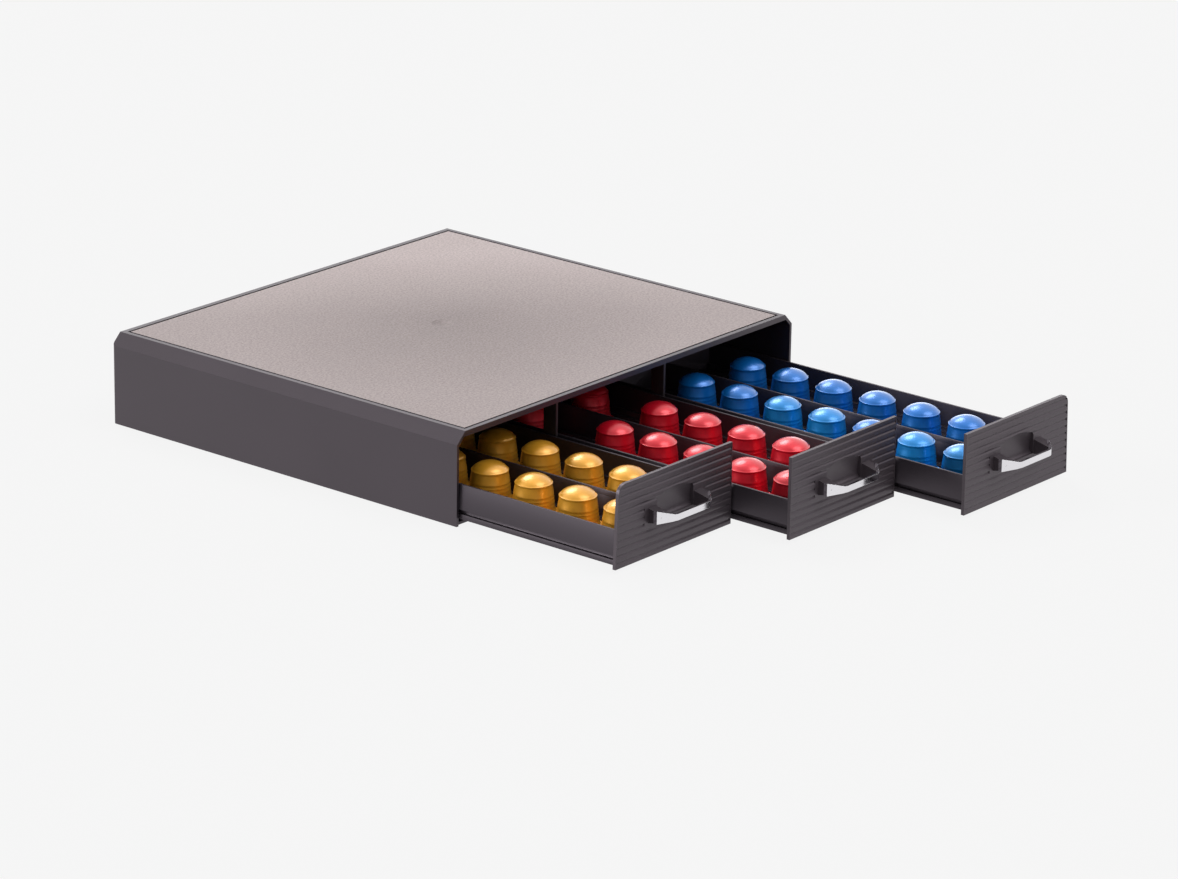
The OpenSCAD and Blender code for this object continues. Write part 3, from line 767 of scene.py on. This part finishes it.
def cross_screw(head_radius, head_height, shank_radius, total):
    """A screw of the given total length along +Z from its head at the origin, with a cross in the head."""
    crown, tip, pitch = head_height * 0.35, 0.0006, 0.0007
    profile = [
        (0, 0), (head_radius * 0.8, crown * 0.15), (head_radius, crown),
        (head_radius, head_height), (shank_radius, head_height),
    ]
    threads = int((total - head_height - 0.001) / pitch)
    for i in range(threads):
        z = head_height + 0.0004 + i * pitch
        profile += [(shank_radius * 0.82, z), (shank_radius, z + pitch / 2)]
    profile += [(shank_radius * 0.8, total - tip), (0, total)]
    reach, width, depth = head_radius * 0.62, head_radius * 0.11, head_height * 0.6
    cross = combine(
        block((-reach, -width, -0.001), (reach, width, depth)), "UNION",
        block((-width, -reach, -0.001), (width, reach, depth)),
    )
    return combine(lathe(profile, (0, 0, 0), 24), "DIFFERENCE", cross)


class ScrewPieces(bpy.types.Operator):
    """Screws of the base plate and of the handles"""

    bl_idname = "poddrawer.screws"
    bl_label = "Screws"

    def execute(self, context):
        finish = plain_metal("zinc plating", chosen("zinc"), 0.28)
        self.group("base_screws", "housing", finish, (0.002, 0.0011, 0.0009), Matrix.Identity(3))
        inward = Matrix.Rotation(math.radians(90), 3, "X")
        for side in SIDES:
            self.group(f"handle_screws_{side}", f"{side}_drawer", finish, (0.0022, 0.0014, 0.0011), inward)
        return {"FINISHED"}

    def group(self, node, body, finish, sizes, turn):
        """Screws in the places of a node's solids; turn points a screw's +Z along its shank."""
        screws = []
        direction = turn @ Vector((0, 0, 1))
        for low, high in islands(node):
            middle, half = (low + high) / 2, (high - low) / 2
            reach = abs(half.dot(direction))
            screw = cross_screw(*sizes, 2 * reach)
            bmesh.ops.rotate(screw, verts=screw.verts, cent=(0, 0, 0), matrix=turn)
            bmesh.ops.translate(screw, verts=screw.verts, vec=middle - direction * reach)
            screws.append(screw)
        piece(gather(screws), f"{node}_cross", body, [finish], node)


class TrayPieces(bpy.types.Operator):
    """Trays with their lanes and side grooves, their edges softened as far as the clamp allows"""

    bl_idname = "poddrawer.trays"
    bl_label = "Trays"

    def execute(self, context):
        finish = moulded_plastic("tray plastic", chosen("tray"), 0.5, 0.3)
        for side in SIDES:
            softened(f"tray_{side}", f"{side}_drawer", finish, 0.0002)
        return {"FINISHED"}


class Layout:
    """The places on one drawer that its front and its handle share."""

    def __init__(self, scene, side):
        low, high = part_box(f"handle_{side}")
        sizes = scene.poddrawer_handles
        self.side = side
        self.low, self.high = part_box(f"front_{side}")
        self.x, self.z = (low.x + high.x) / 2, (low.z + high.z) / 2
        self.inner_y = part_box(f"tray_{side}")[0].y
        self.y = self.inner_y - scene.poddrawer_fronts.thickness
        self.base_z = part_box("housing_shell")[0].z
        self.bow_y = low.y
        self.bow_half = (high.x - low.x) / 2
        self.slope = (self.y - low.y - sizes.end_out) / (self.bow_half - sizes.grip_half)
        self.back = sizes.thickness * math.sqrt(1 + self.slope ** 2)

    def trimmer(self, outline, axis):
        """A long prism about the handle's middle, which limits a part's outline."""
        middle = {"x": self.x, "y": self.y, "z": self.z}[axis]
        return prism(outline, axis, middle - BEYOND, middle + BEYOND)


class FrontPieces(bpy.types.Operator):
    """Ribbed fronts with a finger recess and two handle posts"""

    bl_idname = "poddrawer.fronts"
    bl_label = "Fronts"

    def execute(self, context):
        # The fronts take a paler colour than the housing as painted light.
        finish = moulded_plastic("front plastic with painted light", chosen("front"), 0.44, 0.5)
        sizes = context.scene.poddrawer_fronts
        for side in SIDES:
            front = self.front(sizes, context.scene.poddrawer_handles, Layout(context.scene, side))
            name, body = f"front_{side}", f"{side}_drawer"
            piece(front, f"{name}_ribbed", body, [finish], name, sizes.softness)
        return {"FINISHED"}

    def front(self, sizes, handle, at):
        back_y = at.y + sizes.recess_depth + sizes.recess_wall
        dish = prism(self.arch(sizes, at, sizes.recess_wall), "y", at.inner_y - 0.001, back_y)
        posts = [self.post(handle, at, way) for way in (-1, 1)]
        hole_radius, hole_depth = 0.0012, 0.0013
        holes = [
            rod((screw.x, screw.z), "y", hole_radius, at.y - hole_depth, at.inner_y + 0.001, 20)
            for screw in middles(f"handle_screws_{at.side}")
        ]
        front = combine(self.plate(sizes, at), "UNION", dish, *posts)
        return combine(front, "DIFFERENCE", self.grooves(sizes, at), self.recess(sizes, at), *holes)

    def arch(self, sizes, at, margin):
        """The finger recess's outline on the front, in X and Z, grown by margin."""
        steps = 28
        half, rise = sizes.arch_half + margin, sizes.arch_rise + margin
        limit = sizes.arch_limit + margin
        low = at.base_z + sizes.recess_low - margin
        foot = at.base_z + sizes.arch_foot
        turns = [math.pi * i / steps for i in range(steps + 1)]
        curve = [(half * math.cos(turn), foot + rise * math.sin(turn)) for turn in turns]
        spring = foot + rise * math.sqrt(1 - (limit / half) ** 2)
        points = [(limit, low), (limit, spring), *[point for point in curve if abs(point[0]) < limit]]
        return [(at.x + x, z) for x, z in (*points, (-limit, spring), (-limit, low))]

    def plate(self, sizes, at):
        """The flat plate; an outer one leans in at its outer edge, with a round outer top corner."""
        left = at.low.x + (sizes.lean if at.side == "left" else 0)
        right = at.high.x - (sizes.lean if at.side == "right" else 0)
        outline = [(at.low.x, at.low.z), (left, at.high.z), (right, at.high.z), (at.high.x, at.low.z)]
        plate = prism(outline, "y", at.y, at.inner_y)
        if at.side != "middle":
            corner_x, top = left if at.side == "left" else right, at.high.z - NEAR
            outer = lambda a, b: along("y", a, b) and abs(a.x - corner_x) < NEAR and a.z > top
            round_edges(plate, outer, sizes.corner, 6)
        return plate

    def post(self, handle, at, way):
        """A handle post, whose sloping end carries a leg of the bow; it gets lower towards the grip."""
        outer_x, inner_x = at.x + way * at.bow_half, at.x + way * (at.bow_half - handle.post_width)
        end_y, root_y, sunk_y = at.y - handle.end_out + at.back, at.y + 0.001, at.y + 0.002
        outline = [
            (outer_x, root_y), (outer_x, end_y),
            (inner_x, end_y - handle.post_width * at.slope), (inner_x, root_y),
        ]
        base = handle.end_height / 2 + handle.post_extra
        tip = base - handle.post_taper
        profile = [
            (sunk_y, at.z + base), (at.y, at.z + base), (at.bow_y, at.z + tip),
            (at.bow_y, at.z - tip), (at.y, at.z - base), (sunk_y, at.z - base),
        ]
        return combine(at.trimmer(outline, "z"), "INTERSECT", at.trimmer(profile, "x"))

    def grooves(self, sizes, at):
        """Cutters for the grooves between the ribs."""
        height = at.high.z - at.low.z
        ribs = int(height / sizes.rib_pitch)
        first = at.low.z + (height - (ribs - 1) * sizes.rib_pitch) / 2
        cutters = []
        for i in range(ribs):
            z = first + i * sizes.rib_pitch
            lean = sizes.lean * (z - at.low.z) / height
            left = at.low.x + sizes.edge_band + (lean if at.side == "left" else 0)
            right = at.high.x - sizes.edge_band - (lean if at.side == "right" else 0)
            ends = [(left, right)]
            if at.base_z + sizes.plain_low < z < at.base_z + sizes.plain_high:
                ends = [(left, at.x - sizes.plain_half), (at.x + sizes.plain_half, right)]
            outline = self.groove_outline(sizes, at.y, z)
            cutters += [prism(outline, "x", start, end) for start, end in ends]
        return gather(cutters)

    def groove_outline(self, sizes, face_y, z):
        """A soft groove across Y and Z, whose sides run smoothly into the face."""
        half = sizes.groove_width / 2
        ahead = face_y - 0.002
        steps = 10
        outline = [(ahead, z - half)]
        for i in range(steps + 1):
            part = 2 * i / steps - 1
            depth = sizes.groove_depth * (0.5 + 0.5 * math.cos(math.pi * part))
            outline.append((face_y + depth, z + half * part))
        return outline + [(ahead, z + half)]

    def recess(self, sizes, at):
        """Cutter for the finger recess, which deepens downwards, then curves out to its lower edge."""
        depth, sweep = sizes.recess_depth, 0.004
        low = at.base_z + sizes.recess_low
        top = at.base_z + sizes.arch_foot + sizes.arch_rise
        ahead, above, shallow = at.y - CLEAR, top + 0.001, at.y + sizes.recess_top
        outline = [(ahead, low), (ahead, above), (shallow, above), (shallow, top)]
        fall_steps, sweep_steps = 6, 8
        for i in range(1, fall_steps):
            part = i / fall_steps
            deeper = (depth - sizes.recess_top) * math.sin(part * math.pi / 2)
            outline.append((shallow + deeper, top - (top - low - sweep) * part))
        for i in range(sweep_steps + 1):
            turn = math.pi / 2 * i / sweep_steps
            outline.append((at.y + depth * math.cos(turn), low + sweep * (1 - math.sin(turn))))
        arch = prism(self.arch(sizes, at, 0), "y", at.y - 2 * CLEAR, at.y + depth)
        return combine(arch, "INTERSECT", at.trimmer(outline, "x"))


class HandlePieces(bpy.types.Operator):
    """Chrome bow handles"""

    bl_idname = "poddrawer.handles"
    bl_label = "Handles"

    def execute(self, context):
        finish = chrome_plate("chrome plate", chosen("chrome"))
        sizes = context.scene.poddrawer_handles
        for side in SIDES:
            bow = self.bow(sizes, Layout(context.scene, side))
            name, body = f"handle_{side}", f"{side}_drawer"
            piece(bow, f"{name}_bow", body, [finish], name, sizes.softness, 3)
        return {"FINISHED"}

    def bow(self, sizes, at):
        """A bent strap, taller at its ends than along its grip, with a boss behind each end."""
        half, grip_half, out = at.bow_half, sizes.grip_half, at.y - at.bow_y
        back_grip = grip_half - (at.back - sizes.thickness) / at.slope
        plan = [
            (-half, sizes.end_out - at.back), (-half, sizes.end_out), (-grip_half, out),
            (grip_half, out), (half, sizes.end_out), (half, sizes.end_out - at.back),
            (back_grip, out - sizes.thickness), (-back_grip, out - sizes.thickness),
        ]
        outline = [(at.x + x, at.y - y) for x, y in plan]
        strap = prism(outline, "z", at.z - sizes.end_height, at.z + sizes.end_height)
        bend = lambda a, b: along("z", a, b) and abs(abs(a.x - at.x) - half) > 0.002
        round_edges(strap, bend, sizes.bend, 5)
        end, grip, far = sizes.end_height / 2, sizes.grip_height / 2, half + 0.001
        view = [
            (-far, -end), (-far, end), (-grip_half, grip), (grip_half, grip),
            (far, end), (far, -end), (grip_half, -grip), (-grip_half, -grip),
        ]
        strap = combine(strap, "INTERSECT", at.trimmer([(at.x + x, at.z + z) for x, z in view], "y"))
        boss_radius, boss_gap, boss_x = 0.002, 0.0015, half - sizes.post_width / 2
        boss_end = at.y - sizes.end_out - (sizes.post_width / 2) * at.slope + at.back * 0.6
        centres = [(at.x - boss_x, at.z), (at.x + boss_x, at.z)]
        bosses = [rod(centre, "y", boss_radius, boss_end, at.y - boss_gap, 24) for centre in centres]
        return combine(strap, "UNION", *bosses)


class PodPieces(bpy.types.Operator):
    """Rows of coffee pods with a curled flange, rings and a domed end"""

    bl_idname = "poddrawer.pods"
    bl_label = "Pods"

    light_blue = {"inner": (0, 1, 3, 4), "outer": (0,)}

    def execute(self, context):
        gold = [lacquered_aluminium("gold lacquer", chosen("gold"))]
        red = [lacquered_aluminium("red lacquer", chosen("red"))]
        blues = [
            lacquered_aluminium("royal blue lacquer", chosen("royal")),
            lacquered_aluminium("light blue lacquer", chosen("cyan")),
        ]
        for side, slot, finishes in zip(SIDES, ("gold_pods", "red_pods", "blue_pods"), (gold, red, blues)):
            for lane in LANES[side]:
                node = f"pods_{side}_{lane}"
                light = self.light_blue[lane] if side == "right" else ()
                row = self.row(context.scene.poddrawer_pods, node, light)
                piece(row, f"{node}_lacquered", f"{side}_drawer", finishes, node, crease=50)
        return {"FINISHED"}

    def row(self, sizes, node, light):
        """All the pods of one lane; those numbered in light, from the front, have the second finish."""
        pods = []
        for i, (low, high) in enumerate(islands(node)):
            middle = (low + high) / 2
            profile = self.profile(sizes, (high.x - low.x) / 2, high.z - low.z)
            pod = lathe(profile, (middle.x, middle.y, low.z), sizes.steps)
            for face in pod.faces:
                face.material_index = 1 if i in light else 0
            pods.append(pod)
        return gather(pods)

    def profile(self, sizes, flange, height):
        """Half section of a hollow pod, from its end down the outside and back up the inside."""
        foot, shoulder, bead, curl = sizes.foot, sizes.shoulder, sizes.bead, sizes.flange / 2
        shoulder_z = height - sizes.shoulder_drop
        wall, foot_z = 0.0005, 0.004
        step_in, step_up = 0.0006, 0.0005
        dome = sizes.shoulder_drop - step_up
        outside = [(0, height)]
        for i in range(1, 12):
            turn = math.radians(90 - 7.5 * i)
            run, rise = math.cos(turn) ** 1.15, math.sin(turn) ** 1.3
            outside.append(((shoulder - step_in) * run, shoulder_z + step_up + dome * rise))
        bead_curve = [
            (-0.0005, 0.0006), (bead * 0.6, 0.0003), (bead, 0), (bead * 0.6, -0.0004),
            (-0.0001, -0.0009), (-0.0001, -0.0014),
        ]
        outside += [(shoulder + out, shoulder_z + up) for out, up in bead_curve]
        ring_curve = [(0, 0.0007), (0.8, 0.0003), (1, 0), (0.8, -0.0003), (0, -0.0007)]
        slope = (foot - step_in - shoulder) / (shoulder_z - foot_z)
        for i in range(sizes.rings):
            z = sizes.ring_height - i * sizes.ring_pitch
            radius = shoulder + slope * (shoulder_z - z)
            outside += [(radius + sizes.ring_size * share, z + up) for share, up in ring_curve]
        outside += [
            (foot - 0.0004, 0.0046), (foot, foot_z), (foot, 0.0022), (foot + 0.0003, curl * 1.15),
            (flange - curl * 2.2, curl),
        ]
        for i in range(7):
            turn = math.radians(120 - 35 * i)
            outside.append((flange - curl + curl * math.cos(turn), curl + curl * math.sin(turn)))
        inside = [
            (foot - wall, 0), (foot - 2 * wall, 0.0046), (shoulder - 2 * wall, shoulder_z),
            (shoulder * 0.6, height - 0.0032), (0, height - wall),
        ]
        return outside + inside


class FoilPieces(bpy.types.Operator):
    """Foil lids under the pods"""

    bl_idname = "poddrawer.foils"
    bl_label = "Foils"

    def execute(self, context):
        finish = plain_metal("lid foil", chosen("foil"), 0.3)
        for side in SIDES:
            for lane in LANES[side]:
                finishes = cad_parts[f"foils_{side}_{lane}"].data.materials
                finishes.clear()
                finishes.append(finish)
        return {"FINISHED"}


# ---------------------------------------------------------------- stage


class StagePieces(bpy.types.Operator):
    """Camera, lamps, sky and floor"""

    bl_idname = "poddrawer.stage"
    bl_label = "Stage"

    def execute(self, context):
        scene, settings = context.scene, context.scene.poddrawer_stage
        self.camera(scene, settings)
        self.floor(settings)
        self.sky(scene, settings)
        self.lamp("key lamp", 1.1, 40, (0.15, -0.5, 0.85), 0.25)
        self.lamp("left rear lamp", 1.6, 20, (-0.73, 0.6, 0.28), 0.5)
        self.lamp("top rear lamp", 0.9, 24, (0.3, 0.6, 0.73), 0.6)
        scene.view_settings.view_transform = "Standard"
        return {"FINISHED"}

    def camera(self, scene, settings):
        """A long lens at the view's bearing, elevation and roll."""
        turn = (
            Matrix.Rotation(-settings.bearing, 4, "Z")
            @ Matrix.Rotation(math.pi / 2 - settings.elevation, 4, "X")
            @ Matrix.Rotation(settings.roll, 4, "Z")
        )
        data = bpy.data.cameras.new("camera")
        data.lens = settings.lens
        data.sensor_width = 36
        data.sensor_fit = "HORIZONTAL"
        data.clip_end = 50
        made = bpy.data.objects.new("camera", data)
        scene.collection.objects.link(made)
        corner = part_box("housing_shell")[0]
        made.matrix_world = Matrix.Translation(corner + Vector(settings.place)) @ turn
        scene.camera = made

    def floor(self, settings):
        """A wide square that passes for an endless floor."""
        bm = bmesh.new()
        bmesh.ops.create_grid(bm, x_segments=1, y_segments=1, size=12)
        made = loose_object(bm, "floor")
        made.data.materials.append(floor_paint("studio floor", chosen("floor"), settings.shadow))

    def sky(self, scene, settings):
        """White all round; in reflections the rear of the studio is brighter than its front."""
        world = bpy.data.worlds.new("studio")
        world.use_nodes = True
        wiring = Wiring(world.node_tree)
        background = wiring.nodes["Background"]
        background.inputs["Color"].default_value = (1, 1, 1, 1)
        bearing = settings.bearing
        ahead = {0: wiring.node("ShaderNodeTexCoord"), 1: (math.sin(bearing), math.cos(bearing), 0)}
        rearwards = wiring.node("ShaderNodeVectorMath", {"operation": "DOT_PRODUCT"}, ahead, output="Value")
        mirrored = wiring.span(rearwards, -0.5, 0.5, settings.ahead, settings.behind)
        mirrored += wiring.span(rearwards, 0.955, 1.0, 0.0, settings.glow)
        glossy = wiring.node("ShaderNodeLightPath", output="Is Glossy Ray")
        wiring.feed(background.inputs["Strength"], settings.sky + (mirrored - settings.sky) * glossy)
        scene.world = world

    def lamp(self, name, strength, softness, towards, gloss):
        """A distant soft lamp, towards which a direction points; gloss is its strength in reflections."""
        data = bpy.data.lights.new(name, "SUN")
        data.energy = strength
        data.angle = math.radians(softness)
        data.specular_factor = gloss
        made = bpy.data.objects.new(name, data)
        bpy.context.scene.collection.objects.link(made)
        made.matrix_world = Vector(towards).to_track_quat("Z", "Y").to_matrix().to_4x4()


class PodDrawerPanel(bpy.types.Panel):
    """Lists the pieces in the sidebar"""

    bl_idname = "VIEW3D_PT_poddrawer"
    bl_label = "Pod drawers"
    bl_space_type = "VIEW_3D"
    bl_region_type = "UI"
    bl_category = "Pod drawers"

    def draw(self, context):
        for maker in MAKERS:
            self.layout.operator(maker.bl_idname)
        for name in SETTINGS:
            group = getattr(context.scene, name)
            column = self.layout.column(align=True)
            column.label(text=type(group).__name__)
            for key in type(group).__annotations__:
                column.prop(group, key)


SETTINGS = {
    "poddrawer_housing": HousingSizes,
    "poddrawer_fronts": FrontSizes,
    "poddrawer_handles": HandleSizes,
    "poddrawer_pods": PodSizes,
    "poddrawer_colours": FinishColours,
    "poddrawer_stage": StageSettings,
}
MAKERS = (
    StagePieces, HousingPiece, InlayPanelPiece, InnerPartPieces, FootPieces, ScrewPieces,
    TrayPieces, FrontPieces, HandlePieces, PodPieces, FoilPieces,
)


def register():
    for kind in (*SETTINGS.values(), *MAKERS, PodDrawerPanel):
        bpy.utils.register_class(kind)
    for name, kind in SETTINGS.items():
        setattr(bpy.types.Scene, name, PointerProperty(type=kind))


def unregister():
    for name in SETTINGS:
        delattr(bpy.types.Scene, name)
    for kind in (PodDrawerPanel, *MAKERS, *SETTINGS.values()):
        bpy.utils.unregister_class(kind)


def main():
    """Builds everything."""
    register()
    for maker in MAKERS:
        group, name = maker.bl_idname.split(".")
        getattr(getattr(bpy.ops, group), name)()


if __name__ == "__main__":
    main()
